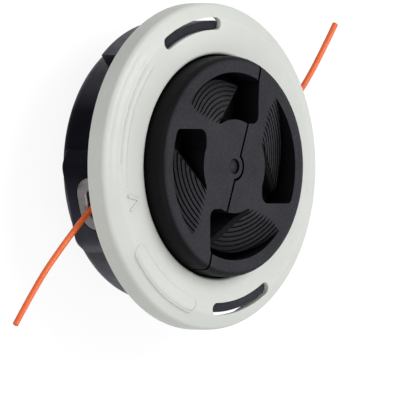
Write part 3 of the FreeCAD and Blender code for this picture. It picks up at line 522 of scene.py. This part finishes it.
def steel(name, color, rough, stretch):
    """Plated steel with drawn or turned streaks, dull spots and a darker tone in the corners."""
    bright = [min(1.0, part * 1.22) for part in color]
    spot = [part * 0.62 for part in color]
    corner_dark = [part * 0.25 for part in color]
    made = Shader(name, color, rough, 1.0)
    streak = made.noise(260, 4, 0.6, stretch)
    dull = made.remap(made.noise(190, 4), (0.52, 0.72), (0.0, 0.45))
    base = made.mix(made.spread(streak), color, bright)
    base = made.mix(dull, base, spot)
    # The colour darkens in corners and hollows.
    base = made.mix(made.remap(made.hollows(2.5 * MM), (0.35, 0.9), (0.55, 0.0)), base, corner_dark)
    made.set("Base Color", base)
    made.set("Roughness", made.math("ADD", made.spread(streak, (rough - 0.07, rough + 0.09)), dull))
    made.bump(streak, 0.05 * MM, 0.35)
    return made.material


def nylon_line():
    """Extruded orange nylon: slightly clear, with a faint grain and a few rubbed spots."""
    deep = (0.88, 0.128, 0.022)
    light = (0.93, 0.185, 0.038)
    rubbed = (0.94, 0.32, 0.13)
    made = Shader("orange_nylon", (0.90, 0.150, 0.028), 0.34)
    base = made.mix(made.spread(made.noise(110, 3)), deep, light)
    base = made.mix(made.remap(made.noise(420, 3, 0.65), (0.62, 0.78), (0.0, 0.3)), base, rubbed)
    made.set("Base Color", base)
    made.set("Roughness", made.spread(made.noise(500, 3), (0.28, 0.44)))
    made.bump(made.noise(1600, 2), 0.02 * MM, 0.12)
    made.set("Specular IOR Level", 0.28)
    made.set("Subsurface Weight", 0.2)
    made.set("Subsurface Radius", (1.2 * MM, 0.5 * MM, 0.2 * MM))
    made.set("Coat Weight", 0.1)
    made.set("Coat Roughness", 0.2)
    return made.material


ring_look = pale_plastic()
housing_look = black_plastic()
knob_look = knob_plastic("charcoal_knob")
handle_look = knob_plastic("charcoal_handle")
eyelet_look = steel("eyelet_steel", (0.150, 0.142, 0.138), 0.42, (1, 3, 1))
zinc_look = steel("zinc_plate", (0.60, 0.61, 0.60), 0.30, (1, 1, 5))
spring_look = steel("spring_wire", (0.30, 0.29, 0.28), 0.38, (4, 1, 1))
line_look = nylon_line()

LOOKS = {
    "cover_ring": ring_look,
    "upper_housing": housing_look,
    "spool": housing_look,
    "knob_body": knob_look,
    "winding_handle": handle_look,
    "line_eyelet_left": eyelet_look,
    "line_eyelet_right": eyelet_look,
    "arbor_nut": zinc_look,
    "thrust_washer": zinc_look,
    "handle_hinge_pin": zinc_look,
    "knob_screws": zinc_look,
    "feed_spring": spring_look,
    "line_winding_lower": line_look,
    "line_winding_upper": line_look,
    "line_tail_left": line_look,
    "line_tail_right": line_look,
}


def dress(piece, look):
    piece.data.materials.clear()
    piece.data.materials.append(look)


for name, look in LOOKS.items():
    dress(nodes[name], look)
for piece in tails:
    dress(piece, line_look)
dress(thread, zinc_look)
dress(spring, spring_look)
dress(ring, ring_look)

# Stage: a white floor that keeps the object's shadow, under a white sky that gives a soft fill.
WHITE = (1, 1, 1, 1)
FLOOR_HALF = 3.0
FLOOR_LEVEL = -0.2 * MM
FLOOR_COLOR = (0.16, 0.16, 0.16, 1)
FLOOR_ROUGHNESS = 0.9
FLOOR_GLOW = 0.88
SKY_FILL = 0.34
SKY_SEEN = 1.0


def seen_rays(tree):
    """One for rays that the eye follows, straight or by mirror and glass, and nought for the rest."""
    path = tree.nodes.new("ShaderNodeLightPath")
    total = path.outputs["Is Camera Ray"]
    for kind in ("Is Glossy Ray", "Is Transmission Ray"):
        larger = tree.nodes.new("ShaderNodeMath")
        larger.operation = "MAXIMUM"
        tree.links.new(total, larger.inputs[0])
        tree.links.new(path.outputs[kind], larger.inputs[1])
        total = larger.outputs["Value"]
    return total


def make_floor():
    data = bpy.data.meshes.new("floor")
    signs = ((-1, -1), (1, -1), (1, 1), (-1, 1))
    corners = [(right * FLOOR_HALF, back * FLOOR_HALF, FLOOR_LEVEL) for right, back in signs]
    data.from_pydata(corners, [], [(0, 1, 2, 3)])
    floor = add("floor", data)
    material = bpy.data.materials.new("floor_white")
    material.use_nodes = True
    tree = material.node_tree
    shader = tree.nodes["Principled BSDF"]
    shader.inputs["Base Color"].default_value = FLOOR_COLOR
    shader.inputs["Roughness"].default_value = FLOOR_ROUGHNESS
    shader.inputs["Emission Color"].default_value = WHITE
    glow = tree.nodes.new("ShaderNodeMath")
    glow.operation = "MULTIPLY"
    glow.inputs[1].default_value = FLOOR_GLOW
    tree.links.new(seen_rays(tree), glow.inputs[0])
    tree.links.new(glow.outputs["Value"], shader.inputs["Emission Strength"])
    data.materials.append(material)


def make_world():
    world = bpy.data.worlds.new("studio")
    scene.world = world
    world.use_nodes = True
    tree = world.node_tree
    sky = tree.nodes["Background"]
    sky.inputs["Color"].default_value = WHITE
    level = tree.nodes.new("ShaderNodeMapRange")
    level.inputs["To Min"].default_value = SKY_FILL
    level.inputs["To Max"].default_value = SKY_SEEN
    tree.links.new(seen_rays(tree), level.inputs["Value"])
    tree.links.new(level.outputs["Result"], sky.inputs["Strength"])


make_floor()
make_world()

# Lamps: a key above the knob, and four wider fills round the head so that no side goes black.
LAMPS = {
    "key": ((0.34, 0.36, 0.95), 0.55, 5.2),
    "fill_front": ((-1.15, -0.35, 0.60), 0.9, 6.0),
    "fill_below": ((0.2, -1.2, 0.45), 0.9, 1.8),
    "fill_top": ((-0.7, 1.1, 0.45), 0.9, 3.4),
    "fill_back": ((1.1, -0.4, 0.7), 0.9, 2.6),
}


def area_light(name, place, width, watts):
    data = bpy.data.lights.new(name, "AREA")
    data.shape = "DISK"
    data.size = width
    data.energy = watts
    light = add(name, data)
    light.location = place
    light.rotation_mode = "QUATERNION"
    light.rotation_quaternion = (SKIRT_CENTRE - Vector(place)).to_track_quat("-Z", "Y")


for name, (place, width, watts) in LAMPS.items():
    area_light(name, place, width, watts)

scene.view_settings.view_transform = "Standard"
